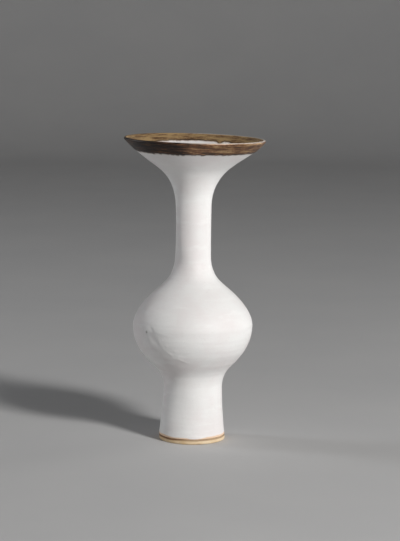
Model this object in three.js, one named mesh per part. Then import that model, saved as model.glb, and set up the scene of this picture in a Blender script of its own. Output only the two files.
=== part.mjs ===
// A wheel-thrown porcelain vase: flared lip, long neck, round belly and a waisted foot.
// Millimetres, +Z up. The foot ring stands on z = 0 and the wheel's axis is the Z axis.
//
// The pot is thrown in four sections, because a belly this full can't be opened up through a neck
// this narrow. The rims are cut as a V groove below and a V ridge above, and luted with slip.
// Three coats of glaze lie on the fired clay: white outside, white inside, bronze round the lip.
import * as THREE from "three";

// Outside diameters, from the foot up.
const footDiameter = 53.5;
const ankleDiameter = 51.6;
const waistDiameter = 48.2;
const bellyDiameter = 96.8;
const neckDiameter = 28.5;
const lipBandDiameter = 93; // where the flare turns up into the steeper lip
const lipDiameter = 114;

// Heights. Each rise goes from one bend of the outside to the next, and the neck takes the rest.
const totalHeight = 246;
const bareBandHeight = 3.9; // unglazed clay showing round the foot
const ankleRise = 9.1;
const footTaperRise = 20.6;
const waistRise = 19.4;
const underBellyRise = 25.6;
const bellyBandRise = 29.8;
const shoulderRise = 27.6;
const flareRise = 20.8;
const lipRise = 11.7;

// Walls, coats and clearances.
const clayWall = 2.8;
const lipClay = 1; // the clay wall thins to this at the lip
const glazeCoat = 0.4;
const fitGap = 0.3; // clear space between neighbouring pieces

// The turned foot.
const footRingWidth = 4;
const recessDepth = 2.2;
const floorThickness = 4.4;
const footEdgeRadius = 0.9;
const floorCornerRadius = 7;

// The luted joints, placed from the nearest bend of the outside.
const waistJointDrop = 3; // below the top of the waist
const bellyJointDrop = 9; // below the belly's widest line
const neckJointLift = 4; // above the bottom of the neck
const slipThickness = 0.8;
const grooveDepth = 1;

// How far the bronze glaze reaches down from the top of the lip.
const bronzeOutside = 9.6;
const bronzeInside = 5;

// Facets: one lathe division for every piece, so that facing surfaces stay parallel.
const facets = 36;
const bendStep = THREE.MathUtils.degToRad(15);
const shortestFacet = 0.5;
const cornerSteps = 4;
const lipSteps = 8;

// What follows: how deep the clay lies under a coat, and the whole lip from face to face.
const clayDepth = glazeCoat + fitGap;
const lipThickness = lipClay + 2 * clayDepth;
const floorTop = recessDepth + floorThickness;

// The heights of the bends, and of the joints between them.
const ankle = bareBandHeight + ankleRise;
const waistBottom = ankle + footTaperRise;
const waistTop = waistBottom + waistRise;
const bellyBottom = waistTop + underBellyRise;
const bellyTop = bellyBottom + bellyBandRise;
const neckBottom = bellyTop + shoulderRise;
const lipBottom = totalHeight - lipRise;
const neckTop = lipBottom - flareRise;
const waistJoint = waistTop - waistJointDrop;
const bellyJoint = (bellyBottom + bellyTop) / 2 - bellyJointDrop;
const neckJoint = neckBottom + neckJointLift;

const point = (r, z) => new THREE.Vector2(r, z);

// One station of the outside: a point on it and the direction square out of the wall there.
function station(at, along) {
  const out = point(along.y, -along.x).normalize();
  return { at, out };
}

// A point the given depth inside the wall at a station.
function inset(place, depth) {
  return place.at.clone().addScaledVector(place.out, -depth);
}

// Where the straight side below a round lip edge leaves it, so that the edge reaches just to
// the lip's full diameter and height.
function lipTangent(knee) {
  const edgeRadius = lipThickness / 2;
  const centre = point(lipDiameter / 2 - edgeRadius, totalHeight - edgeRadius);
  const along = centre.clone().sub(knee);
  const side = Math.sqrt(along.lengthSq() - edgeRadius ** 2);
  along.rotateAround(point(0, 0), -Math.asin(edgeRadius / along.length())).normalize();
  return knee.clone().addScaledVector(along, side);
}

// The outside as straight legs with softened bends. A bend is drawn out along the leg below it
// and the leg above it, by a share of each.
function outsideBends() {
  const bend = (diameter, z, below, above) => ({ corner: point(diameter / 2, z), below, above });
  return [
    bend(footDiameter, bareBandHeight, 0, 0),
    bend(ankleDiameter, ankle, 0.5, 0.3),
    bend(waistDiameter, waistBottom, 0.25, 0.45),
    bend(waistDiameter, waistTop, 0.55, 0.25),
    bend(bellyDiameter, bellyBottom, 0.5, 0.5),
    bend(bellyDiameter, bellyTop, 0.5, 0.7),
    bend(neckDiameter, neckBottom, 0.3, 0.2),
    bend(neckDiameter, neckTop, 0.3, 0.62),
    bend(lipBandDiameter, lipBottom, 0.34, 0.28),
    { corner: lipTangent(point(lipBandDiameter / 2, lipBottom)), below: 0, above: 0 },
  ];
}

// Stations along one softened bend, close enough together that no facet turns by more than
// about bendStep.
function bendStations(before, bend, after) {
  const start = bend.corner.clone().lerp(before.corner, bend.below);
  const end = bend.corner.clone().lerp(after.corner, bend.above);
  const curve = new THREE.QuadraticBezierCurve(start, bend.corner, end);
  const turn = curve.getTangent(1).angleTo(curve.getTangent(0));
  const steps = Math.ceil(turn / bendStep);
  const stations = [];
  for (let i = 0; i <= steps; i += 1) {
    stations.push(station(curve.getPoint(i / steps), curve.getTangent(i / steps)));
  }
  return stations;
}

// Every station of the outside, from the glaze line at the foot to the edge of the lip.
function outsideStations() {
  const bends = outsideBends();
  const last = bends.length - 1;
  const firstLeg = bends[1].corner.clone().sub(bends[0].corner);
  const lastLeg = bends[last].corner.clone().sub(bends[last - 1].corner);
  const middle = [];
  for (let i = 1; i < last; i += 1) {
    const next = bendStations(bends[i - 1], bends[i], bends[i + 1]);
    const meets = middle.length > 0 && middle.at(-1).at.distanceTo(next[0].at) < shortestFacet;
    middle.push(...(meets ? next.slice(1) : next));
  }
  return [station(bends[0].corner, firstLeg), ...middle, station(bends[last].corner, lastLeg)];
}

const outside = outsideStations();
const glazeLine = outside[0];
const lipSide = outside.at(-1);

// The clay keeps its full wall up to the flare, then thins evenly to the lip.
function clayAt(place) {
  const taper = (place.at.y - neckTop) / (lipSide.at.y - neckTop);
  return THREE.MathUtils.lerp(clayWall, lipClay, THREE.MathUtils.clamp(taper, 0, 1));
}

// The surfaces through the wall, from the outside in, each as a depth at a station.
const layers = {
  outerGlazeFace: () => 0,
  outerGlazeBack: () => glazeCoat,
  clayOuter: () => clayDepth,
  clayMiddle: (place) => clayDepth + clayAt(place) / 2,
  clayInner: (place) => clayDepth + clayAt(place),
  innerGlazeBack: (place) => clayDepth + clayAt(place) + fitGap,
  innerGlazeFace: (place) => 2 * clayDepth + clayAt(place),
};

// One layer's points at the given stations.
function layerPoints(places, layer) {
  return places.map((place) => inset(place, layer(place)));
}

// The station whose point on a layer lies at this height, part-way along the facet there.
function stationAt(z, layer = layers.outerGlazeFace) {
  const heights = layerPoints(outside, layer).map((p) => p.y);
  const upper = heights.findIndex((height, i) => i > 0 && height >= z);
  const share = (z - heights[upper - 1]) / (heights[upper] - heights[upper - 1]);
  const [a, b] = [outside[upper - 1], outside[upper]];
  return { at: a.at.clone().lerp(b.at, share), out: a.out.clone().lerp(b.out, share) };
}

// The stations from one to another, both included.
function between(low, high) {
  const middle = outside.filter((place) => place.at.y > low.at.y && place.at.y < high.at.y);
  return [low, ...middle, high];
}

// Points round an arc, from one angle to another.
function arcPoints(centre, radius, from, to, steps) {
  const points = [];
  for (let i = 0; i <= steps; i += 1) {
    const angle = THREE.MathUtils.lerp(from, to, i / steps);
    points.push(point(Math.cos(angle), Math.sin(angle)).multiplyScalar(radius).add(centre));
  }
  return points;
}

// The round edge of the lip for the surface that lies this deep, from its outer side to its inner.
function lipEdge(depth) {
  const edgeRadius = lipThickness / 2;
  const centre = inset(lipSide, edgeRadius);
  const start = lipSide.out.angle() - 2 * Math.PI;
  return arcPoints(centre, edgeRadius - depth, start, start + Math.PI, lipSteps);
}

// The tip of the V in a rim: half-way through the clay and a groove's depth down the wall.
function grooveTip(place) {
  const down = point(place.out.y, -place.out.x);
  return inset(place, layers.clayMiddle(place)).addScaledVector(down, grooveDepth);
}

// From a joint's height to each rim: half the slip, and a gap that stays clear on the V's slopes.
const slopeStretch = Math.hypot(1, grooveDepth / (clayWall / 2));
const rimSetback = slipThickness / 2 + fitGap * slopeStretch;

// The foot of the cavity for a layer that lies this far above the clay floor: where the wall ends,
// the rounded corner from there to the flat floor, and the floor's middle.
function cavityFloor(rise) {
  const cornerDepth = (place) => layers.clayInner(place) + floorCornerRadius;
  const wallEnd = stationAt(floorTop + floorCornerRadius, cornerDepth);
  const centre = inset(wallEnd, cornerDepth(wallEnd));
  const wallAngle = wallEnd.out.angle();
  const radius = floorCornerRadius - rise;
  const corner = arcPoints(centre, radius, wallAngle, -Math.PI / 2, cornerSteps);
  return { wallEnd, points: [...corner, point(0, floorTop + rise)] };
}

// The underside of the foot, from the axis out: recess, foot ring, and the bare band's round edge.
function footUnderside() {
  const ringOuter = footDiameter / 2 - footEdgeRadius;
  const ringInner = footDiameter / 2 - footRingWidth;
  const edgeCentre = point(ringOuter, footEdgeRadius);
  return [
    point(0, recessDepth),
    point(ringInner - recessDepth, recessDepth),
    point(ringInner, 0),
    ...arcPoints(edgeCentre, footEdgeRadius, -Math.PI / 2, 0, cornerSteps),
    glazeLine.at,
  ];
}

const clay = new THREE.MeshStandardMaterial({ color: 0xdcc59c, roughness: 0.85, metalness: 0 });
const slip = new THREE.MeshStandardMaterial({ color: 0xcdb894, roughness: 0.9, metalness: 0 });
const white = new THREE.MeshStandardMaterial({ color: 0xe2dfdc, roughness: 0.38, metalness: 0 });
const bronze = new THREE.MeshStandardMaterial({ color: 0x7b5a34, roughness: 0.42, metalness: 0.5 });

// One piece: its section turned about the vertical axis.
function turned(name, section, material) {
  const geometry = new THREE.LatheGeometry(section, facets);
  geometry.rotateX(Math.PI / 2);
  const mesh = new THREE.Mesh(geometry, material);
  mesh.name = name;
  return mesh;
}

// A section that closes on itself: up through the first points and back down the second ones.
function closedSection(up, down) {
  return [...up, ...down.toReversed(), up[0].clone()];
}

// The bottom section: turned foot ring, floor, and the wall up to the waist joint.
function footSection() {
  const rim = stationAt(waistJoint - rimSetback);
  const floor = cavityFloor(0);
  const outer = layerPoints(between(glazeLine, rim), layers.clayOuter);
  const inner = layerPoints(between(floor.wallEnd, rim), layers.clayInner).slice(1);
  const section = [...footUnderside(), ...outer, grooveTip(rim), ...inner.reverse(), ...floor.points];
  return turned("foot_section", section, clay);
}

// A ring of the body between two joints, with a ridge below and a groove above.
function clayRing(name, lowJoint, highJoint) {
  const lowRim = stationAt(lowJoint + rimSetback);
  const highRim = stationAt(highJoint - rimSetback);
  const places = between(lowRim, highRim);
  const up = [grooveTip(lowRim), ...layerPoints(places, layers.clayOuter), grooveTip(highRim)];
  return turned(name, closedSection(up, layerPoints(places, layers.clayInner)), clay);
}

// The top section: the neck from its joint, the flare and the thin round lip.
function neckAndMouth() {
  const rim = stationAt(neckJoint + rimSetback);
  const places = between(rim, lipSide).slice(0, -1);
  const up = [grooveTip(rim), ...layerPoints(places, layers.clayOuter), ...lipEdge(clayDepth)];
  return turned("neck_and_mouth", closedSection(up, layerPoints(places, layers.clayInner)), clay);
}

// The slip squeezed between two rims, as deep as the clay wall.
function slipJoint(name, height) {
  const across = (place) => [
    inset(place, layers.clayOuter(place)),
    grooveTip(place),
    inset(place, layers.clayInner(place)),
  ];
  const top = across(stationAt(height + slipThickness / 2));
  const bottom = across(stationAt(height - slipThickness / 2));
  return turned(name, closedSection(top, bottom), slip);
}

// The white coat outside, from the bare band to the bronze.
function outerWhiteGlaze() {
  const low = stationAt(bareBandHeight + fitGap);
  const high = stationAt(totalHeight - bronzeOutside - fitGap);
  const face = layerPoints(between(low, high), layers.outerGlazeFace);
  const back = layerPoints(between(low, high), layers.outerGlazeBack);
  return turned("outer_white_glaze", closedSection(face, back), white);
}

// The white coat inside: a deep cup from the floor to the bronze.
function innerWhiteGlaze() {
  const top = stationAt(totalHeight - bronzeInside - fitGap, layers.innerGlazeFace);
  const backFloor = cavityFloor(fitGap);
  const faceFloor = cavityFloor(clayDepth);
  const places = between(backFloor.wallEnd, top).slice(1);
  const up = [...backFloor.points.reverse(), ...layerPoints(places, layers.innerGlazeBack)];
  const down = [...layerPoints(places, layers.innerGlazeFace).reverse(), ...faceFloor.points];
  return turned("inner_white_glaze", [...up, ...down], white);
}

// The bronze band, folded over the lip.
function lipBronzeGlaze() {
  const outerEnd = stationAt(totalHeight - bronzeOutside);
  const innerEnd = stationAt(totalHeight - bronzeInside, layers.innerGlazeFace);
  const outer = between(outerEnd, lipSide).slice(0, -1);
  const inner = between(innerEnd, lipSide).slice(0, -1).reverse();
  const folded = (outerLayer, edgeDepth, innerLayer) => [
    ...layerPoints(outer, outerLayer),
    ...lipEdge(edgeDepth),
    ...layerPoints(inner, innerLayer),
  ];
  const face = folded(layers.outerGlazeFace, 0, layers.innerGlazeFace);
  const back = folded(layers.outerGlazeBack, glazeCoat, layers.innerGlazeBack);
  return turned("lip_bronze_glaze", closedSection(face, back), bronze);
}

const vase = new THREE.Group();
vase.add(
  footSection(),
  slipJoint("waist_slip_joint", waistJoint),
  clayRing("belly_lower", waistJoint, bellyJoint),
  slipJoint("belly_slip_joint", bellyJoint),
  clayRing("belly_upper", bellyJoint, neckJoint),
  slipJoint("neck_slip_joint", neckJoint),
  neckAndMouth(),
  outerWhiteGlaze(),
  innerWhiteGlaze(),
  lipBronzeGlaze(),
);

export default vase;
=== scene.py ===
# %% [markdown]
# # A thrown porcelain vase
#
# The vase is taken to be porcelain thrown on a wheel in four sections and luted together with slip,
# then coated in white glaze, with a bronze glaze brushed over the lip and the foot ring left bare.
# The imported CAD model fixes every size. It is exact and faceted, like a drawing. This script keeps
# that frame and builds the surfaces a hand would leave: soft rings, a little lean, ragged glaze edges.

# %% Load the frame
import math

import bpy
import numpy as np
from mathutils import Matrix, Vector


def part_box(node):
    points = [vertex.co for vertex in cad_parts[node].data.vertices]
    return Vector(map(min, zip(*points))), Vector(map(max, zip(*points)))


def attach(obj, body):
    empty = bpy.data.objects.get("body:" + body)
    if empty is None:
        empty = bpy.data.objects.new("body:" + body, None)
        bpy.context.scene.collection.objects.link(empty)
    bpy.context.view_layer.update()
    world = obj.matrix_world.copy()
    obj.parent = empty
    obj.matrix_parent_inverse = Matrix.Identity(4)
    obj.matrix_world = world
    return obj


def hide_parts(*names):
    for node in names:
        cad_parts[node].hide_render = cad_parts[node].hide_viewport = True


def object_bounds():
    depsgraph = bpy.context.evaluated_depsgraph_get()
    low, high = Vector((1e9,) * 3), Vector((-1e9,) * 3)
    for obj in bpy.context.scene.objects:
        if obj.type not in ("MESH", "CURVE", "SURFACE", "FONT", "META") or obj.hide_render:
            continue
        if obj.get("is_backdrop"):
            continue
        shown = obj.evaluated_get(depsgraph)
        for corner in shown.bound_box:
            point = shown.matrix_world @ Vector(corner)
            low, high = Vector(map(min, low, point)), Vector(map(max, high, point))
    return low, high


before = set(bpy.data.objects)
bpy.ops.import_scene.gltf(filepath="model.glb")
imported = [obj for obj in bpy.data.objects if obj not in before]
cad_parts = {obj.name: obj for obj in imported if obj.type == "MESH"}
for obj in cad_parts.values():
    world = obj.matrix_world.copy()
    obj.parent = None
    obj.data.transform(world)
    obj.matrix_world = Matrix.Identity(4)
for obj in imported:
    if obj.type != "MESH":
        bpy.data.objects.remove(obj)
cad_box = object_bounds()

MM = 0.001
SEED = 71
print("CAD pieces:", ", ".join(sorted(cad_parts)))

# %% [markdown]
# ## The camera
#
# A long lens, standing well back, keeps the tall neck and the foot in proportion. It looks down a
# little, so the mouth opens into a thin ellipse and the foot shows its curve. The camera comes
# first, because everything after it is judged through it.

# %% Camera
eye = bpy.data.cameras.new("eye")
eye.lens = 138
eye.sensor_width = 36
eye.clip_start = 0.05
eye.clip_end = 60
camera = bpy.data.objects.new("camera", eye)
camera.location = (0.0057, -1.668, 0.371)
camera.rotation_mode = "ZYX"
LOOK_DOWN = 7.93
HEAD_TILT = 0.37
camera.rotation_euler = (math.radians(90 - LOOK_DOWN), 0, math.radians(HEAD_TILT))
bpy.context.scene.collection.objects.link(camera)
bpy.context.scene.camera = camera
print(f"camera {camera.location.length:.3f} m away, {eye.lens:.0f} mm lens")

# %% [markdown]
# ## Reading a half-section
#
# Every piece is a solid of revolution, so its half-section says everything about it. It could be
# typed in again here, but then two files would hold the same size. So the script cuts each CAD
# mesh with the half-plane through the axis and the +X direction, and walks along the edges that
# lie in it. From here on lengths are in millimetres, as a potter measures them, and they turn
# into metres only when a mesh is made.

# %% Half-sections of the CAD pieces
MICRONS_PER_METRE = 1e6
MICRONS_PER_MM = 1e3


def half_section(node):
    """The (radius, height) points of a CAD piece's half-section, in order, and whether they close."""
    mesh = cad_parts[node].data
    spots = [tuple(round(c * MICRONS_PER_METRE) for c in v.co) for v in mesh.vertices]
    cut = {s for s in spots if s[1] == 0 and s[0] >= 0}
    links = {s: set() for s in cut}
    for a, b in mesh.edge_keys:
        if spots[a] in cut and spots[b] in cut and spots[a] != spots[b]:
            links[spots[a]].add(spots[b])
            links[spots[b]].add(spots[a])
    ends = sorted(s for s in cut if len(links[s]) == 1)
    path = [ends[0] if ends else min(cut, key=lambda s: (s[2], -s[0]))]
    while True:
        ahead = [s for s in links[path[-1]] if s not in path]
        if not ahead:
            break
        path.append(max(ahead))
    return np.array(path, float)[:, [0, 2]] / MICRONS_PER_MM, not ends


for node in sorted(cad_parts):
    section, closes = half_section(node)
    print(f"{node}: {len(section)} points, {'a loop' if closes else 'axis to axis'}")

# %% [markdown]
# ## From a drawing's outline to a thrown one
#
# A drawing has corners where its straight pieces meet. Wet clay has none, apart from the edges
# that a tool cuts. So a smooth curve runs through the section's points, and only a real corner,
# which turns by more than 40 degrees, stays a corner, eased the way a damp sponge eases it.
# A cubic through both ends of each stretch, with its directions taken from the neighbours,
# keeps the straight stretches straight. A guard point just beside each corner keeps its shading crisp.

# %% Smooth outlines
CORNER = 40
SPONGED = 0.15
GUARD = 0.25
GUARD_ROOM = 0.6


def unit(vectors):
    return vectors / np.hypot(*vectors.T)[:, None]


def stretch_between(start, leaving, end, arriving, shares):
    """Points of a cubic from start to end that leaves and arrives in the given directions."""
    t = shares[:, None]
    pull = np.hypot(*(end - start))
    return (
        start * (2 * t**3 - 3 * t**2 + 1)
        + leaving * pull * (t**3 - 2 * t**2 + t)
        + end * (3 * t**2 - 2 * t**3)
        + arriving * pull * (t**3 - t**2)
    )


def smooth_outline(points, closes, outside_step, inside_step):
    """A fine outline through points: the outside is the part before the top, and the inside follows."""
    count = len(points)
    top = int(np.argmax(points[:, 1]))
    onward = unit(np.roll(points, -1, axis=0) - points)
    arriving = np.roll(onward, 1, axis=0)
    along = unit(np.roll(points, -1, axis=0) - np.roll(points, 1, axis=0))
    sharp = (onward * arriving).sum(1) < math.cos(math.radians(CORNER))
    last = count if closes else count - 1
    fine = []
    for i in range(last):
        j = (i + 1) % count
        first_end = not closes and i == 0
        final_end = not closes and j == count - 1
        ease = min(SPONGED, np.hypot(*(points[j] - points[i])) / 4)
        start = points[i] + onward[i] * ease * (sharp[i] and not first_end)
        end = points[j] - onward[i] * ease * (sharp[j] and not final_end)
        leaving = onward[i] if sharp[i] or first_end else along[i]
        landing = onward[i] if sharp[j] or final_end else along[j]
        run = np.hypot(*(end - start))
        step = outside_step if i < top else inside_step
        shares = np.linspace(0, 1, math.ceil(run / step) + 1)
        guard = GUARD / run
        if guard < GUARD_ROOM * shares[1]:
            guards = ([guard] if sharp[i] else []) + ([1 - guard] if sharp[j] else [])
            shares = np.sort(np.append(shares, guards))
        if not (sharp[j] or final_end):
            shares = shares[:-1]
        fine.extend(stretch_between(start, leaving, end, landing, shares))
        if sharp[j] and not final_end:
            k = (j + 1) % count
            ease = min(SPONGED, np.hypot(*(points[k] - points[j])) / 4)
            after = points[j] + onward[j] * ease
            for t in (0.33, 0.67):
                fine.append(end * (1 - t) ** 2 + points[j] * 2 * t * (1 - t) + after * t**2)
    return np.array(fine)


for node in sorted(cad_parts):
    print(f"{node}: {len(smooth_outline(*half_section(node), 1, 4))} points once smoothed")

# %% [markdown]
# ## What the hand leaves
#
# A thrown pot is never quite true. The fingers climb as the wheel turns, so they leave a faint
# spiral. The wall swells where two sections are luted, drying pulls it a little out of round,
# and the long neck leans a touch before it is fired. All of this is one gentle movement of
# space, shared by every piece, so the clay, the slip and the glazes still fit each other.
# It leaves the face that stands on the table where it is.

# %% The shared movement
rng = np.random.default_rng(SEED)
top_height = cad_box[1].z / MM
belly_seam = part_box("belly_slip_joint")[0].z / MM
neck_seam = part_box("neck_slip_joint")[0].z / MM
waist_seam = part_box("waist_slip_joint")[0].z / MM
lip_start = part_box("lip_bronze_glaze")[0].z / MM
glaze_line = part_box("outer_white_glaze")[0].z / MM
shelf_height = belly_seam + 9.6

# All in millimetres, apart from the lip's two tilts, which are slopes.
RING_CLIMB = 4.3
RING_DEPTH = 0.028
UPPER_SHELF = 0.15
LOWER_SHELF = 0.11
WAIST_ROLL = 0.10
NECK_ROLL = 0.08
OVAL = 0.18
WAIST_FLAT = 0.8
NECK_LEAN = 0.9
STEM_SHIFT = 0.35
ANKLE_SHIFT = 0.4
LIP_TILT = math.radians(1.2)
LIP_TILT_BACK = 0.0035
LIP_LIFT = 0.2
LIP_WAVE = 0.10

SWELLS = [
    (rng.uniform(0.02, 0.06), int(rng.integers(1, 6)), rng.uniform(26, 80), rng.uniform(0, 2 * np.pi))
    for _ in range(12)
]


def rise(value, low, high):
    """0 below low, 1 above high, and a soft ramp between them."""
    t = np.clip((value - low) / (high - low), 0, 1)
    return t * t * (3 - 2 * t)


def hill(value, middle, width):
    return np.exp(-(((value - middle) / width) ** 2))


def thrown(r, turn, z):
    """Where the hand put a point of the drawing: radius, angle and height in, x, y and z out."""
    spiral = np.cos(2 * np.pi * z / RING_CLIMB + turn + 0.8 * np.sin(z / 17))
    firmness = 0.6 + 0.4 * np.sin(z / 11 + 1.3 * np.cos(turn))
    out = RING_DEPTH * spiral * firmness * rise(z, 6, 16) * (1 - rise(z, 205, 232))
    for size, lobes, length, phase in SWELLS:
        out = out + size * np.cos(lobes * turn + 2 * np.pi * z / length + phase)
    shelf = np.tanh((z - shelf_height) / 1.1) * hill(z, shelf_height, 7)
    out = out + UPPER_SHELF * shelf * (0.7 + 0.3 * np.cos(turn + 2.4))
    out = out + LOWER_SHELF * hill(z, belly_seam - 11, 2.6) * (0.6 + 0.4 * np.cos(turn + 2.2))
    out = out + WAIST_ROLL * hill(z, waist_seam + 2, 3.5) + NECK_ROLL * hill(z, neck_seam + 1, 3)
    out = out + OVAL * np.cos(2 * turn + 0.5) * rise(z, 30, 90)
    out = out - WAIST_FLAT * hill(z, waist_seam - 1, 9) * (0.5 - 0.5 * np.cos(turn)) ** 3
    out = out * rise(z, 3, 14) * np.clip(r / 8, 0, 1)
    x = (r + out) * np.cos(turn)
    y = (r + out) * np.sin(turn)
    lean = NECK_LEAN * rise(z, 150, top_height) + STEM_SHIFT * hill(z, 36, 9)
    lean = lean - ANKLE_SHIFT * hill(z, 11, 9) * rise(z, 0, 5)
    at_lip = rise(z, lip_start - 11, lip_start + 3)
    dip = LIP_TILT * x + LIP_TILT_BACK * y - LIP_LIFT - LIP_WAVE * np.cos(2 * turn + 2.4)
    return np.stack([x + lean, y, z - dip * at_lip], axis=-1)


print(f"seams at {waist_seam:.1f}, {belly_seam:.1f} and {neck_seam:.1f} mm")
print(f"lip glaze from {lip_start:.1f} mm")

# %% [markdown]
# ## Turning an outline into a closed mesh
#
# Blender's Screw and Spin tools turn an outline too, but then every column is the same. Here the
# grid of points is worked out first, so a glaze edge can wander as it goes round, and then the
# faces are laid on it. Each grid closes on itself, or on one point at the axis, so each piece is a
# watertight solid. It also gets its own flat map, turn by length.
# What lies hidden gets a tenth of its share of that map.

# %% Meshes from grids
HIDDEN_SHARE = 0.1


def flat_map(along, columns, poles):
    """The flat map's corners, in the order in which closed_mesh lays its faces."""
    u = np.arange(columns + 1) / columns
    low, high = along[:-1], along[1:]
    if poles:
        low, high = low[1:-1], high[1:-1]
    low, left = np.meshgrid(low, u[:-1], indexing="ij")
    high, right = np.meshgrid(high, u[1:], indexing="ij")
    corners = [np.stack([a, b], axis=-1) for a, b in ((left, low), (right, low), (right, high), (left, high))]
    flat = [np.stack(corners, axis=2).reshape(-1, 2)]
    if poles:
        middle = (u[:-1] + u[1:]) / 2
        first, final = along[1] + 0 * middle, along[-2] + 0 * middle
        flat.append(np.stack([middle, 0 * middle, u[1:], first, u[:-1], first], axis=-1).reshape(-1, 2))
        flat.append(np.stack([u[:-1], final, u[1:], final, middle, 0 * middle + 1], axis=-1).reshape(-1, 2))
    return np.vstack(flat)


def closed_mesh(name, spots, poles, shown, marks=None):
    """A watertight piece from a grid of points in millimetres, which ends on the axis if poles is true."""
    rows, columns, _ = spots.shape
    ring = np.arange(columns)
    onward = np.roll(ring, -1)
    if poles:
        vertices = np.vstack([spots[1:-1].reshape(-1, 3), spots[0, :1], spots[-1, :1]])
        lower = np.arange(rows - 3)
        upper = lower + 1
    else:
        vertices = spots.reshape(-1, 3)
        lower = np.arange(rows)
        upper = np.roll(lower, -1)
    a, b = lower[:, None] * columns, upper[:, None] * columns
    faces = np.stack([a + ring, a + onward, b + onward, b + ring], axis=-1).reshape(-1, 4).tolist()
    if poles:
        first = (rows - 2) * columns
        last_ring = (rows - 3) * columns
        faces += np.stack([0 * ring + first, onward, ring], axis=-1).tolist()
        faces += np.stack([last_ring + ring, last_ring + onward, 0 * ring + first + 1], axis=-1).tolist()
    mesh = bpy.data.meshes.new(name)
    mesh.from_pydata((vertices * MM).tolist(), [], faces)
    mesh.shade_smooth()

    steps = np.linalg.norm(np.roll(spots[:, 0], -1, axis=0) - spots[:, 0], axis=1)
    steps[~shown] *= HIDDEN_SHARE
    along = np.concatenate([[0], np.cumsum(steps[:-1] if poles else steps)])
    layer = mesh.uv_layers.new(name="OFBake")
    layer.data.foreach_set("uv", flat_map(along / along[-1], columns, poles).ravel())
    for mark, values in (marks or {}).items():
        if poles:
            values = np.concatenate([values[1:-1].ravel(), values[0, :1], values[-1, :1]])
        attribute = mesh.attributes.new(mark, "FLOAT", "POINT")
        attribute.data.foreach_set("value", values.ravel().astype(np.float32))
    piece = bpy.data.objects.new(name, mesh)
    bpy.context.scene.collection.objects.link(piece)
    return piece


def turned(outline, turns):
    """Radius, angle and height of an outline's points in every column."""
    r = np.repeat(outline[:, :1], len(turns), axis=1)
    z = np.repeat(outline[:, 1:], len(turns), axis=1)
    return r, np.broadcast_to(turns, r.shape), z


def around(columns):
    return np.linspace(-np.pi, np.pi, columns, endpoint=False)


# %% [markdown]
# ## Writing finishes as sums
#
# A procedural finish is a net of nodes, and wired by hand it soon turns into spaghetti. Here a
# socket is wrapped so that it can be added, multiplied and subtracted like a number, and each sum
# adds its Math node. Every other node comes from one method, which sets the node up and then
# fills or links its sockets. A finish then reads like a glaze recipe.

# %% The recipe tools
class Part:
    """One shader socket that can be used in sums."""

    def __init__(self, recipe, socket):
        self.recipe = recipe
        self.socket = socket

    def sum(self, operation, *values):
        return self.recipe.add("Math", {"operation": operation}, dict(enumerate(values)))

    def __add__(self, other):
        return self.sum("ADD", self, other)

    def __radd__(self, other):
        return self.sum("ADD", other, self)

    def __sub__(self, other):
        return self.sum("SUBTRACT", self, other)

    def __rsub__(self, other):
        return self.sum("SUBTRACT", other, self)

    def __mul__(self, other):
        return self.sum("MULTIPLY", self, other)

    def __rmul__(self, other):
        return self.sum("MULTIPLY", other, self)

    def __truediv__(self, other):
        return self.sum("DIVIDE", self, other)

    def __abs__(self):
        return self.sum("ABSOLUTE", self)

    def capped(self):
        """The same value, kept at or below 1."""
        return self.sum("MINIMUM", self, 1.0)


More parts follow.
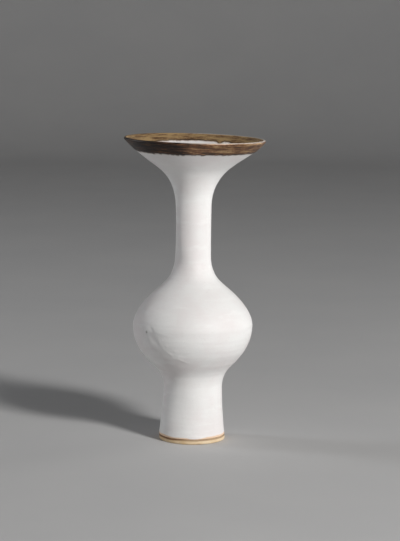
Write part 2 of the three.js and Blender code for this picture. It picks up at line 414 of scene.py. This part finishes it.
class Recipe:
    """A finish in the making."""

    def __init__(self, name):
        self.material = bpy.data.materials.new(name)
        self.material.use_nodes = True
        self.tree = self.material.node_tree
        self.tree.nodes.clear()
        place = self.add("TexCoord", out="Object")
        self.place = self.add("VectorMath", {"operation": "SCALE"}, {0: place, "Scale": 1000.0})
        self.x, self.y, self.z = (self.add("SeparateXYZ", sockets={0: self.place}, out=k) for k in range(3))

    def add(self, kind, settings=None, sockets=None, out=0):
        """A node of a kind: its settings first, then its sockets' values or links."""
        node = self.tree.nodes.new("ShaderNode" + kind)
        for name, value in (settings or {}).items():
            if name == "stops":
                self.set_stops(node.color_ramp, value)
            else:
                setattr(node, name, value)
        for name, value in (sockets or {}).items():
            if isinstance(value, Part):
                self.tree.links.new(value.socket, node.inputs[name])
            else:
                node.inputs[name].default_value = value
        return Part(self, node.outputs[out])

    def set_stops(self, ramp, stops):
        while len(ramp.elements) < len(stops):
            ramp.elements.new(1.0)
        for element, (position, colour) in zip(ramp.elements, stops):
            element.position = position
            element.color = (*colour, 1.0)

    def vector(self, x, y, z):
        return self.add("CombineXYZ", sockets={0: x, 1: y, 2: z})

    def clouds(self, size, detail=3.0, place=None, roughness=0.55, distortion=0.0):
        """Soft random cloudiness, from 0 to 1, whose lumps are size millimetres wide."""
        sockets = {"Vector": place or self.place, "Scale": 1 / size, "Detail": detail}
        return self.add("TexNoise", None, sockets | {"Roughness": roughness, "Distortion": distortion})

    def specks(self, spacing, size, share, place=None):
        """Small round specks: 1 in the middle and 0 outside, in a share of the cells."""
        sockets = {"Vector": place or self.place, "Scale": 1 / spacing}
        near = self.add("TexVoronoi", None, sockets)
        chosen = self.add("SeparateColor", sockets={0: self.add("TexVoronoi", None, sockets, "Color")})
        return self.ramp(near * spacing, size, size * 0.4) * self.ramp(chosen, share, share * 0.9)

    def ramp(self, value, low, high):
        """A soft ramp from 0 at low to 1 at high; low may be the greater."""
        if low > high:
            return 1 - self.ramp(value, high, low)
        settings = {"interpolation_type": "SMOOTHSTEP"}
        return self.add("MapRange", settings, {"Value": value, "From Min": low, "From Max": high})

    def mix(self, first, second, share):
        """A colour that goes from first to second as share goes from 0 to 1."""
        colours = {6: first, 7: second}
        colours = {k: v if isinstance(v, Part) else (*v, 1.0) for k, v in colours.items()}
        return self.add("Mix", {"data_type": "RGBA", "clamp_factor": True}, {0: share} | colours, 2)

    def mark(self, name):
        """A number that was stored on the mesh's points."""
        return self.add("Attribute", {"attribute_name": name}, out="Fac")

    def bump(self, height, distance, under=None):
        """Relief: a height from 0 to 1 stands for that many millimetres."""
        sockets = {"Height": height, "Distance": distance * MM, "Strength": 1.0}
        return self.add("Bump", None, sockets | ({"Normal": under} if under else {}))

    def finish(self, **sockets):
        """Closes the recipe: keywords are the surface's sockets, with _ for a space."""
        names = {name.replace("_", " "): value for name, value in sockets.items()}
        shader = self.add("BsdfPrincipled", None, names)
        self.add_output(shader)
        print(f"finish {self.material.name}: {len(self.tree.nodes)} nodes")
        return self.material

    def add_output(self, shader):
        output = self.tree.nodes.new("ShaderNodeOutputMaterial")
        self.tree.links.new(shader.socket, output.inputs["Surface"])


# %% [markdown]
# ## The fired clay
#
# Under the glaze the body is porcelain. Where it was left bare, on the foot ring, it took a warm
# cream colour in the kiln, and flame toasted a thin brown line just under the glaze. The tool
# that trimmed the foot left fine turned lines and dragged a few grains. The colour follows the
# height above the base, so one recipe serves the bare foot and the hidden walls.

# %% Clay finish
def fired_clay_finish():
    clay = Recipe("fired_clay")
    wobble = clay.clouds(7, 2) - 0.5
    height = clay.z + wobble * 0.8
    drifts = clay.clouds(9, 4)
    grain = clay.clouds(0.7, 2)
    tan, cream, pale = (0.66, 0.47, 0.26), (0.79, 0.64, 0.44), (0.84, 0.73, 0.56)
    toast, iron, painted_base_shade = (0.22, 0.10, 0.04), (0.13, 0.075, 0.04), (0.46, 0.36, 0.26)
    body = clay.mix(tan, cream, clay.ramp(drifts, 0.3, 0.7))
    body = clay.mix(body, pale, clay.ramp(grain, 0.5, 0.8) * 0.5)
    toasted = clay.ramp(height, glaze_line - 1.8, glaze_line - 1.0)
    toasted = toasted * clay.ramp(height, glaze_line + 0.2, glaze_line - 0.5)
    # The toasted line is made darker towards the left side (-x).
    darker_at_left = clay.ramp(clay.x, -3, -17)
    body = clay.mix(body, toast, toasted * (0.9 * drifts + 0.1 + 0.45 * darker_at_left))
    specks = clay.specks(1.5, 0.22, 0.35)
    body = clay.mix(body, iron, specks * 0.8)
    # Painted shade: the clay darkens in patches along the base edge, where the contact shadow falls.
    with_painted_shade = clay.ramp(clay.z, 1.1, 0.1) * clay.ramp(clay.clouds(3, 3), 0.4, 0.65)
    body = clay.mix(body, painted_base_shade, with_painted_shade * 0.6)
    rings = clay.clouds(0.9, 2, clay.vector(clay.x * 0.04, clay.y * 0.04, clay.z))
    relief = clay.bump(rings, 0.10)
    relief = clay.bump(grain * 0.7 + specks, 0.06, relief)
    roughness = 0.72 + 0.16 * drifts
    return clay.finish(Base_Color=body, Roughness=roughness, Normal=relief)


clay_finish = fired_clay_finish()

# %% [markdown]
# ## The luting slip
#
# Slip is the same clay let down with water until it runs. The potter scores both rims, brushes
# slip on and presses them together. It fires a little paler and drier than the wall, with the
# marks of the brush in it. It is hidden inside the joints, but it is a part, so it is made.

# %% Slip finish
def luting_slip_finish():
    slip = Recipe("luting_slip")
    brush = slip.clouds(0.8, 3, slip.vector(slip.x * 0.1, slip.y * 0.1, slip.z))
    drifts = slip.clouds(5, 3)
    dull, pale, brushed = (0.66, 0.58, 0.48), (0.80, 0.75, 0.67), (0.52, 0.42, 0.31)
    body = slip.mix(dull, pale, slip.ramp(drifts, 0.3, 0.7))
    body = slip.mix(body, brushed, slip.ramp(brush, 0.55, 0.75) * 0.5)
    relief = slip.bump(brush, 0.12)
    return slip.finish(Base_Color=body, Roughness=0.80 + 0.12 * drifts, Normal=relief)


slip_finish = luting_slip_finish()

# %% [markdown]
# ## The clay pieces
#
# The foot was thrown as a little cup, with a ring to stand on and a shallow recess turned under
# it. The two belly halves are bowls set rim to rim, and the neck with its mouth is a long
# trumpet. Each smooth piece stands for its CAD node, takes the finish it is given, and
# rides on the one body. Only the foot is seen, so it gets the fine grid.

# %% Clay and slip pieces
def turned_piece(node, finish, outside_step, inside_step, columns, name):
    """A piece turned from a CAD node's own half-section."""
    points, closes = half_section(node)
    outline = smooth_outline(points, closes, outside_step, inside_step)
    r, turn, z = turned(outline, around(columns))
    shown = np.arange(len(outline)) < np.argmax(outline[:, 1])
    return placed(closed_mesh(name, thrown(r, turn, z), not closes, shown), finish, node)


def placed(piece, finish, node):
    """Gives a piece its finish and its body, and hides the CAD node that it stands for."""
    piece.data.materials.append(finish)
    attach(piece, "root")
    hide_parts(node)
    faces = len(piece.data.polygons)
    width, height = piece.dimensions.x / MM, piece.dimensions.z / MM
    print(f"{piece.name}: {faces} faces, {width:.1f} mm wide, {height:.1f} mm tall")
    return piece


for node, name, outside_step, inside_step, columns in (
    ("foot_section", "foot", 0.45, 4, 240),
    ("belly_lower", "lower_belly", 2, 3, 144),
    ("belly_upper", "upper_belly", 2, 3, 144),
    ("neck_and_mouth", "trumpet_neck", 2, 3, 144),
):
    turned_piece(node, clay_finish, outside_step, inside_step, columns, name)

for place in ("waist", "belly", "neck"):
    turned_piece(f"{place}_slip_joint", slip_finish, 0.4, 0.4, 144, f"{place}_slip")

# %% [markdown]
# ## The skin of the whole vase
#
# Three glaze coats meet along the lip. To run the bronze over the white, the script needs the
# line that a finger would follow from the foot up the outside, over the rim and down the throat.
# It is joined from the faces of the three CAD coats. A place on it is then one number: the
# distance from the rim, below zero outside and above zero inside.

# %% The skin line
def corner_numbers(points):
    """Which points of a closed or open section are real corners."""
    onward = unit(np.roll(points, -1, axis=0) - points)
    turn = (onward * np.roll(onward, 1, axis=0)).sum(1)
    return np.flatnonzero(turn < math.cos(math.radians(CORNER)))


outer_points, _ = half_section("outer_white_glaze")
bronze_points, _ = half_section("lip_bronze_glaze")
inner_points, _ = half_section("inner_white_glaze")
outer_corners, bronze_corners = corner_numbers(outer_points), corner_numbers(bronze_points)
outer_face = outer_points[outer_corners[1] : outer_corners[2] + 1]
bronze_face = bronze_points[bronze_corners[0] : bronze_corners[1] + 1]
inner_face = inner_points[np.argmax(inner_points[:, 1]) :]
skin = smooth_outline(np.vstack([outer_face, bronze_face, inner_face]), False, 0.2, 0.2)
skin_run = np.concatenate([[0], np.cumsum(np.hypot(*np.diff(skin, axis=0).T))])
skin_run -= skin_run[np.argmax(skin[:, 1])]
skin_way = unit(np.gradient(skin, axis=0))


def run_at(point):
    """How far along the skin a point of a section lies, from the rim."""
    return skin_run[np.argmin(np.hypot(*(skin - point).T))]


def on_skin(run, depth):
    """Radius and height of the place at that run, that deep under the skin."""
    r, z = np.interp(run, skin_run, skin[:, 0]), np.interp(run, skin_run, skin[:, 1])
    way_r, way_z = np.interp(run, skin_run, skin_way[:, 0]), np.interp(run, skin_run, skin_way[:, 1])
    return r - way_z * depth, z + way_r * depth


bronze_low, bronze_high = run_at(bronze_face[0]), run_at(bronze_face[-1])
print(f"skin {skin_run[-1] - skin_run[0]:.0f} mm long, bronze from {bronze_low:.1f} to {bronze_high:.1f} mm")

# %% [markdown]
# ## Where the bronze ran
#
# The bronze glaze went on with a loaded brush over the raw white one, and it moved in the firing.
# Outside it stops in small blunt drips, and inside it ran farther down the slope and left
# notches of white, with one long drip among them. Random teeth of slightly different widths give
# that edge better than a sine wave, which looks like a pie crust.

# %% Ragged edges
BAND_RADIUS = 47
LONG_DRIP = 3.2
LONG_DRIP_TURN = 1.135


def drips(turns, radius, width, seed):
    """Blunt teeth round a circle, as lengths from 0 to about 1."""
    lots = np.random.default_rng(seed)
    widths = lots.uniform(0.55, 1.45, int(2 * np.pi * radius / width))
    ends = np.cumsum(widths) / widths.sum()
    lengths = lots.uniform(0.15, 1.0, len(widths)) ** 1.3
    at = (turns + np.pi) / (2 * np.pi) % 1
    tooth = np.searchsorted(ends, at, side="right") % len(widths)
    start = np.concatenate([[0], ends])[tooth]
    across = (at - start) / (widths[tooth] / widths.sum())
    return lengths[tooth] * np.clip(1 - np.abs(2 * across - 1) ** 2.4, 0, 1) ** 0.6


def drift(turns, seed, lobes):
    """A slow wander round the circle, from about -1 to 1."""
    lots = np.random.default_rng(seed)
    total = 0
    for k in lobes:
        phase = lots.uniform(0, 2 * np.pi)
        total = total + np.cos(k * turns + phase) * lots.uniform(0.4, 1) / math.sqrt(k)
    return total / 2


def outside_reach(turns):
    """How far the bronze ran below its drawn edge outside, in millimetres."""
    reach = 0.1 + 0.4 * drift(turns, 5, (1, 2, 3, 5, 8))
    reach = reach + 1.5 * drips(turns, BAND_RADIUS, 3.4, 11)
    return np.maximum(reach + 0.5 * drips(turns, BAND_RADIUS, 1.7, 12), 0.15)


def inside_reach(turns):
    """The same for the throat side, where it ran down the slope."""
    back = rise(turns, 0.84, 0.98) * rise(-turns, -2.6, -1.8)
    reach = 2.2 - 2.1 * back + 0.4 * drift(turns, 23, (2, 3, 4, 7, 11))
    reach = reach + 0.8 * drips(turns, BAND_RADIUS, 5.2, 21)
    reach = reach + 0.4 * drips(turns, BAND_RADIUS, 2.1, 22)
    reach = reach + LONG_DRIP * hill(turns, LONG_DRIP_TURN, 0.036)
    return np.maximum(reach, 0.2)


sample = around(720)
ran_outside, ran_inside = outside_reach(sample), inside_reach(sample)
print(f"bronze runs {ran_outside.min():.1f} to {ran_outside.max():.1f} mm past its edge outside,")
print(f"and {ran_inside.min():.1f} to {ran_inside.max():.1f} mm inside")


def past_bronze(run, turns):
    """How far a place on the skin is from the ragged bronze edge; below zero is under the bronze."""
    outside = bronze_low - outside_reach(turns) - run
    inside = run - bronze_high - inside_reach(turns)
    return np.where(run < 0, outside, inside)


# %% [markdown]
# ## The white glaze
#
# This glaze is thick, opaque and satin. It is a cool white that blushes pink-grey where it lies
# over the iron in the clay. It is full of small faults that make it alive: an orange-peel skin,
# pinholes, specks, a peach fringe where it thins at the foot, and a stain where it meets the
# bronze. Colour clouds come from noise, the fringe from height, and the stain from
# a number stored on the mesh: the distance to the ragged bronze edge.

# %% White finish
def white_glaze_finish():
    white = Recipe("white_glaze")
    lying = white.vector(white.x * 0.25, white.y * 0.25, white.z)
    blush = white.ramp(white.clouds(30, 3), 0.35, 0.7)
    veils = white.clouds(5, 4, lying)
    mottle = white.clouds(2.2, 3)
    cool, blushed = (0.83, 0.825, 0.815), (0.79, 0.745, 0.74)
    milky, thin = (0.88, 0.875, 0.865), (0.72, 0.695, 0.68)
    peach, stained = (0.80, 0.56, 0.37), (0.28, 0.19, 0.13)
    iron, pit_black = (0.16, 0.11, 0.08), (0.12, 0.10, 0.09)
    body = white.mix(cool, blushed, blush * 0.8)
    body = white.mix(body, milky, white.ramp(veils, 0.5, 0.75) * 0.6)
    body = white.mix(body, thin, white.ramp(mottle, 0.55, 0.8) * 0.3)
    flame = 1.6 * white.ramp(white.x, 4, 22) + 0.8 * white.ramp(white.x, -12, -24)
    thinning = white.z - flame + (white.clouds(16, 3) - 0.5) * 3.2
    near_foot = white.ramp(thinning, glaze_line + 1.3, glaze_line + 0.1)
    body = white.mix(body, peach, near_foot * 0.9)
    gap = white.mark("past_bronze") + (white.clouds(1.1, 3) - 0.5) * 1.1
    stain = white.ramp(gap, 1.9, -0.2)
    body = white.mix(body, stained, stain * 0.8)
    spatter = white.specks(0.9, 0.22, 0.5) * white.ramp(white.mark("past_bronze"), 2.6, 0.3)
    specks = white.specks(3.2, 0.24, 0.20)
    body = white.mix(body, iron, (spatter * 0.9 + specks * 0.45).capped())
    pinholes = white.specks(4.1, 0.30, 0.16, white.vector(white.x + 40, white.y, white.z))
    # The pit is coloured near black inside its hollow.
    hole = white.mark("pit")
    body = white.mix(body, pit_black, hole * 0.9)
    peel = white.clouds(1.5, 2)
    fine = white.clouds(0.45, 2)
    rings = white.clouds(1.8, 2, white.vector(white.x * 0.03, white.y * 0.03, white.z))
    relief = white.bump(rings, 0.06)
    relief = white.bump(peel * 0.8 + fine * 0.2, 0.07, relief)
    relief = white.bump(1 - pinholes, 0.16, relief)
    roughness = 0.46 + 0.16 * veils + 0.12 * mottle
    return white.finish(Base_Color=body, Roughness=roughness, Normal=relief)


white_finish = white_glaze_finish()

# %% [markdown]
# ## Faults in the outer coat
#
# The outside coat carries marks of its own. Low on the belly the glaze crawled into short ridges,
# a bubble burst beside them and left a dark pit with a raised rim, and at the foot the coat
# ends in a soft roll. Each mark is a small hill or hollow, most of them longer than they are wide
# and laid at a slant. The last two are on the back. All go into the mesh, not only into the bump,
# so that light breaks on them from any side.

# %% Marks of the outer glaze
# Each row: degrees round the wall, height, length, width, slant in degrees, and lift.
CRAWLS = [
    (-113.2, 76.2, 2.9, 0.8, -36, 0.36),
    (-109.5, 74.4, 2.6, 0.9, -22, -0.24),
    (-101.8, 71.3, 4.2, 0.8, -24, 0.38),
    (-99.9, 76.2, 4.0, 1.5, 4, -0.30),
    (-107.0, 79.0, 2.8, 1.1, -12, 0.20),
    (-94.0, 69.0, 3.8, 1.0, -6, 0.22),
    (-133.5, 96.0, 3.0, 1.7, -40, -0.32),
    (-130.0, 87.0, 6.0, 3.2, -48, -0.50),
    (-121.0, 93.0, 7.0, 1.4, -10, 0.20),
    (-124.4, 85.8, 1.4, 1.3, 0, 0.20),
    (-116.5, 83.4, 1.5, 1.2, 20, 0.20),
    (-120.0, 81.0, 3.6, 1.6, -55, 0.14),
    (-150.0, 110.0, 4.0, 2.2, 30, 0.16),
    (-84.0, 81.0, 8.0, 2.4, 3, 0.10),
    (38.0, 77.0, 5.0, 1.2, 20, 0.28),
    (120.0, 104.0, 6.0, 2.0, -12, 0.20),
]
PIT = (-139.6, 92.9)
PIT_WIDTH = 0.85
PIT_RIM = 0.22
PIT_DEPTH = 0.30
WALL_SLOPE = 1.2
MARKED_SIDE = -118


def offset_on_wall(r, turn, z, degrees, height):
    """Sideways and upward distance, along the wall, from a marked place."""
    sideways = (turn - math.radians(degrees) + np.pi) % (2 * np.pi) - np.pi
    return sideways * r, (z - height) * WALL_SLOPE


def crawled(r, turn, z):
    lift = 0 * r
    for degrees, height, length, width, slant, amount in CRAWLS:
        across, up = offset_on_wall(r, turn, z, degrees, height)
        c, s = math.cos(math.radians(slant)), math.sin(math.radians(slant))
        lift = lift + amount * hill(across * c + up * s, 0, length) * hill(up * c - across * s, 0, width)
    return lift


def pit_at(r, turn, z):
    """1 in the burst bubble's hole and 0 outside it, and the lift of its rim."""
    across, up = offset_on_wall(r, turn, z, *PIT)
    away = np.hypot(across, up)
    return hill(away, 0, PIT_WIDTH), PIT_RIM * hill(away, 1.7, 0.8) - PIT_DEPTH * hill(away, 0, 0.9)


def crowded(columns, middle, extra):
    """Columns round the circle that stand closer together near one angle."""
    even = np.linspace(-np.pi, np.pi, 4001)
    density = 1 + extra * hill(even, math.radians(middle), 0.55)
    share = np.cumsum(density)
    share = (share - share[0]) / (share[-1] - share[0])
    return np.interp(np.arange(columns) / columns, share, even)


outer_turns = crowded(264, MARKED_SIDE, 1.6)
outline = smooth_outline(*half_section("outer_white_glaze"), 0.95, 7)
top_row = int(np.argmax(outline[:, 1]))
r, turn, z = turned(outline, outer_turns)
face = (np.arange(len(outline)) < top_row)[:, None]
hole, rim = pit_at(r, turn, z)
roll = 0.10 * hill(z, glaze_line + 1.4, 1.5) * (1 + 0.6 * drift(turn, 31, (3, 5, 8, 13)))
ragged_foot = (0.16 + 0.16 * drift(turn, 32, (2, 5, 9, 14, 23))) * np.exp(-(z - glaze_line) / 1.6)
lift = (crawled(r, turn, z) + rim + roll) * face
spots = thrown(r + lift, turn, z + ragged_foot)
skin_top = np.argmax(skin[:, 1])
runs = np.interp(z[:, 0], skin[:skin_top, 1], skin_run[:skin_top])[:, None]
marks = {"past_bronze": past_bronze(runs + 0 * turn, turn), "pit": hole * face}
outer = closed_mesh("outside_white_glaze", spots, False, face[:, 0], marks)
placed(outer, white_finish, "outer_white_glaze")
print(f"marks lift the glaze {lift.max():.2f} mm at most and sink it {-lift.min():.2f} mm")

# %% [markdown]
# ## The inner coat
#
# The white glaze was poured in, swirled and poured out, so it lines the whole inside. Only the
# slope of the mouth is seen, but a vase is looked into. It is turned from axis to axis, fine on
# its inner face and coarse where it lies on the clay.

# %% Inner glaze
UNSTAINED = 9.0

points, closes = half_section("inner_white_glaze")
outline = smooth_outline(points, closes, 7, 1.2)
r, turn, z = turned(outline, around(216))
top_row = int(np.argmax(outline[:, 1]))
face = (np.arange(len(outline)) >= top_row)[:, None]
inside_runs = np.concatenate([[0], np.cumsum(np.hypot(*np.diff(outline, axis=0).T))])
inside_runs += run_at(points[np.argmax(points[:, 1])]) - inside_runs[top_row]
gap = np.where(face, past_bronze(np.maximum(inside_runs, 0.1)[:, None] + 0 * turn, turn), UNSTAINED)
spots = thrown(r, turn, z)
inner = closed_mesh("inside_white_glaze", spots, not closes, face[:, 0], {"past_bronze": gap, "pit": 0 * gap})
placed(inner, white_finish, "inner_white_glaze")

# %% [markdown]
# ## The bronze finish
#
# Bronze glaze is a clay slip loaded with manganese and copper. Where it is thick it melts to a
# dark skin, where it is thin it turns gold and tan, and the brush left it in bands that follow the
# rim. It is only half a metal: satin, with a soft sheen. It burns nearly black at both of its
# edges. On the sharp lip it wears back to pale tan, which is kept to the lit right side as a
# painted highlight. The inside face takes a lit copy of the colours and the outside a shaded copy,
# which darkens further towards the left as painted shade. Streaks come from noise that is long
# round the mouth and short across it.

# %% Bronze finish
def bronze_glaze_finish():
    bronze = Recipe("bronze_glaze")
    run = bronze.mark("from_rim")
    edge = bronze.mark("from_edge")
    banded = bronze.vector(bronze.x * 0.05, bronze.y * 0.05, run * 0.55)
    bands = bronze.clouds(1, 5, banded, 0.6, 0.6)
    streaks = bronze.clouds(1, 4, bronze.vector(bronze.x * 0.16, bronze.y * 0.16, run * 1.5), 0.6, 0.3)
    pools = bronze.clouds(12, 3)
    mottle = bronze.clouds(1.3, 3)
    inside = bronze.ramp(run, -0.4, 0.8)
    shade = bands * 0.75 + streaks * 0.50 + mottle * 0.20 - 0.225
    dark, umber, brown = (0.020, 0.013, 0.011), (0.085, 0.045, 0.025), (0.19, 0.105, 0.052)
    rust, tan, gold = (0.20, 0.090, 0.042), (0.38, 0.235, 0.120), (0.60, 0.41, 0.20)
    charred, pale_tan_wear_and_highlight, speck = (0.014, 0.010, 0.011), (0.78, 0.70, 0.62), (0.03, 0.02, 0.015)
    # Painted light: the inside face takes this lit copy of the colours.
    stops = [(0.30, dark), (0.41, umber), (0.49, brown), (0.57, tan), (0.68, gold)]
    lit = bronze.add("ValToRGB", {"stops": stops}, {0: shade + 0.12 + 0.14 * (pools - 0.5)})
    # Painted shade: the outside copy is shaded, and darker still towards the left, away from the key light.
    painted_shade_at_left = bronze.ramp(bronze.x + (pools - 0.5) * 30, 6, -34)
    stops = [(0.34, dark), (0.44, umber), (0.54, rust), (0.63, tan), (0.74, gold)]
    with_painted_shade = shade + 0.16 * (pools - 0.5) - 0.19 * painted_shade_at_left + 0.03
    shaded = bronze.add("ValToRGB", {"stops": stops}, {0: with_painted_shade})
    body = bronze.mix(shaded, lit, inside)
    burnt = bronze.ramp(edge + (bronze.clouds(1.6, 3) - 0.5) * 1.8, 1.9, 0.6)
    body = bronze.mix(body, charred, burnt * (0.92 - 0.18 * inside))
    # Pale tan on the lip: wear, and, as it is kept to the lit right side, a painted highlight.
    lip = bronze.ramp(abs(run + 0.25) + (bronze.clouds(2.4, 3) - 0.5) * 0.9, 1.3, 0.5)
    body = bronze.mix(body, pale_tan_wear_and_highlight, lip * (0.35 + 1.1 * pools) * bronze.ramp(bronze.x, -14, 6))
    specks = bronze.specks(0.8, 0.2, 0.4)
    body = bronze.mix(body, speck, specks * 0.5)
    relief = bronze.bump(streaks, 0.10)
    relief = bronze.bump(mottle * 0.6 + 0.4 * specks, 0.07, relief)
    metallic = 0.5 - 0.4 * lip - 0.25 * burnt
    roughness = 0.34 + 0.22 * mottle + 0.12 * lip
    return bronze.finish(Base_Color=body, Metallic=metallic, Roughness=roughness, Normal=relief)


bronze_finish = bronze_glaze_finish()

# %% [markdown]
# ## The bronze band
#
# The band is a ring that hugs the lip. Between its drawn edges it takes the white glaze's place.
# Beyond them it thins to a skirt that lies on the white, down to the ragged edge. So each
# column of its grid has rows at fixed places on the lip, and rows in the skirts whose places
# stretch with the run of the drips.

# %% The bronze band
PROUD = 0.15
TIP = 0.05
UNDER = -0.03
BACK = 0.4
OUTSIDE_SKIRT_ROWS = 8
FACE_ROWS = 56
INSIDE_SKIRT_ROWS = 10


def band_rows():
    """Rows round the band's section: how far into a skirt (-1 outside tip to 1 inside tip), run, depth."""
    rows = []
    for t in np.linspace(1, 0, OUTSIDE_SKIRT_ROWS + 1)[:-1]:
        rows.append((-t, bronze_low, -TIP - (PROUD - TIP) * rise(1 - t, 0, 0.45)))
    for run in np.linspace(bronze_low, bronze_high, FACE_ROWS):
        proud = PROUD * rise(abs(run), 1.5, 6)
        rows.append((0, run, -proud))
    for t in np.linspace(0, 1, INSIDE_SKIRT_ROWS + 1)[1:]:
        rows.append((t, bronze_high, -TIP - (PROUD - TIP) * rise(1 - t, 0, 0.45)))
    for t in (0.98, 0.5, 0):
        rows.append((t, bronze_high, UNDER))
    for run in np.linspace(bronze_high - 0.05, bronze_low + 0.05, 22):
        rows.append((0, run, BACK))
    for t in (0, 0.5, 0.98):
        rows.append((-t, bronze_low, UNDER))
    return np.array(rows)


rows = band_rows()
band_turns = around(640)
stretch, run, depth = (rows[:, k : k + 1] for k in range(3))
reach = np.where(stretch < 0, outside_reach(band_turns), inside_reach(band_turns))
runs = run + stretch * reach
r, z = on_skin(runs, depth)
turn = np.broadcast_to(band_turns, r.shape)
tips = np.where(runs < 0, bronze_low - outside_reach(band_turns), bronze_high + inside_reach(band_turns))
marks = {"from_rim": runs, "from_edge": np.abs(tips - runs)}
shown = np.arange(len(rows)) < OUTSIDE_SKIRT_ROWS + FACE_ROWS + INSIDE_SKIRT_ROWS
band = closed_mesh("bronze_lip_glaze", thrown(r, turn, z), False, shown, marks)
placed(band, bronze_finish, "lip_bronze_glaze")

# %% [markdown]
# ## The floor
#
# The vase stands on a plain pale floor that sweeps up all round into a low wall, like a wide
# dish, so there is no horizon from any side. A plain plane would end in a hard line. The sweep is
# one outline turned round the axis, with a faint tooth like that of card.

# %% Floor
def floor_finish():
    card = Recipe("floor_card")
    drifts = card.clouds(160, 3)
    tooth = card.clouds(0.8, 2)
    grey, paler = (0.53, 0.53, 0.535), (0.59, 0.585, 0.58)
    body = card.mix(grey, paler, drifts)
    return card.finish(Base_Color=body, Roughness=0.75 + 0.15 * drifts, Normal=card.bump(tooth, 0.05))


def floor_sweep(flat, bend, wall, columns):
    """A round floor, flat to a radius, with a rim that bends up into a wall; all in metres."""
    angles = np.linspace(0, math.pi / 2, 20)
    outline = [(flat + bend * math.sin(a), bend - bend * math.cos(a)) for a in angles]
    outline.append((flat + bend, wall))
    turns = around(columns)
    vertices = [(0, 0, 0)] + [(r * math.cos(t), r * math.sin(t), z) for r, z in outline for t in turns]
    faces = [(0, 1 + k, 1 + (k + 1) % columns) for k in range(columns)]
    for row in range(len(outline) - 1):
        low = 1 + row * columns
        high = low + columns
        for k in range(columns):
            onward = (k + 1) % columns
            faces.append((low + k, high + k, high + onward, low + onward))
    mesh = bpy.data.meshes.new("floor")
    mesh.from_pydata(vertices, [], faces)
    mesh.shade_smooth()
    mesh.materials.append(floor_finish())
    floor = bpy.data.objects.new("floor", mesh)
    bpy.context.scene.collection.objects.link(floor)
    floor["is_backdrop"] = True
    print(f"floor {2 * (flat + bend):.1f} m across")


floor_sweep(2.6, 1.0, 1.8, 96)

# %% [markdown]
# ## The light
#
# One softbox in front on the right, above the eye, draws the shadow edge down the left side of
# the pot. A second one, low and farther round, lifts the underside of the flare. A cool one
# behind on the left keeps the far edge from sinking. They stand well back, so that the light
# falls off slowly over the floor, and the world adds a little even light, as a pale room does.

# %% Lights
def softbox(name, degrees_round, degrees_up, distance, size, power, colour):
    """A square area light that looks at the middle of the vase."""
    light = bpy.data.lights.new(name, "AREA")
    light.shape = "SQUARE"
    light.size = size
    light.energy = power
    light.color = colour
    lamp = bpy.data.objects.new(name, light)
    a, e = math.radians(degrees_round), math.radians(degrees_up)
    way = np.array([math.cos(a) * math.cos(e), math.sin(a) * math.cos(e), math.sin(e)])
    middle = np.array([0, 0, top_height * MM / 2])
    lamp.location = middle + way * distance
    lamp.rotation_euler = (math.pi / 2 - e, 0, a + math.pi / 2)
    bpy.context.scene.collection.objects.link(lamp)


softbox("key", -50, 24.5, 2.6, 0.42, 60.5, (1.0, 0.99, 0.975))
softbox("side", 30, 1, 2.3, 0.5, 11, (1.0, 0.995, 0.99))
softbox("edge", 164, 18, 2.3, 0.45, 11.5, (0.95, 0.97, 1.0))

world = bpy.data.worlds.new("room")
world.use_nodes = True
backdrop = world.node_tree.nodes["Background"]
backdrop.inputs["Color"].default_value = (0.97, 0.985, 1.0, 1.0)
backdrop.inputs["Strength"].default_value = 0.05
bpy.context.scene.world = world
bpy.context.scene.view_settings.view_transform = "Standard"

# %% Sizes, and the end
made_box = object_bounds()
for axis, name in enumerate(("width", "depth", "height")):
    drawn = (cad_box[1][axis] - cad_box[0][axis]) / MM
    made = (made_box[1][axis] - made_box[0][axis]) / MM
    print(f"{name}: {drawn:.1f} mm drawn, {made:.1f} mm made")
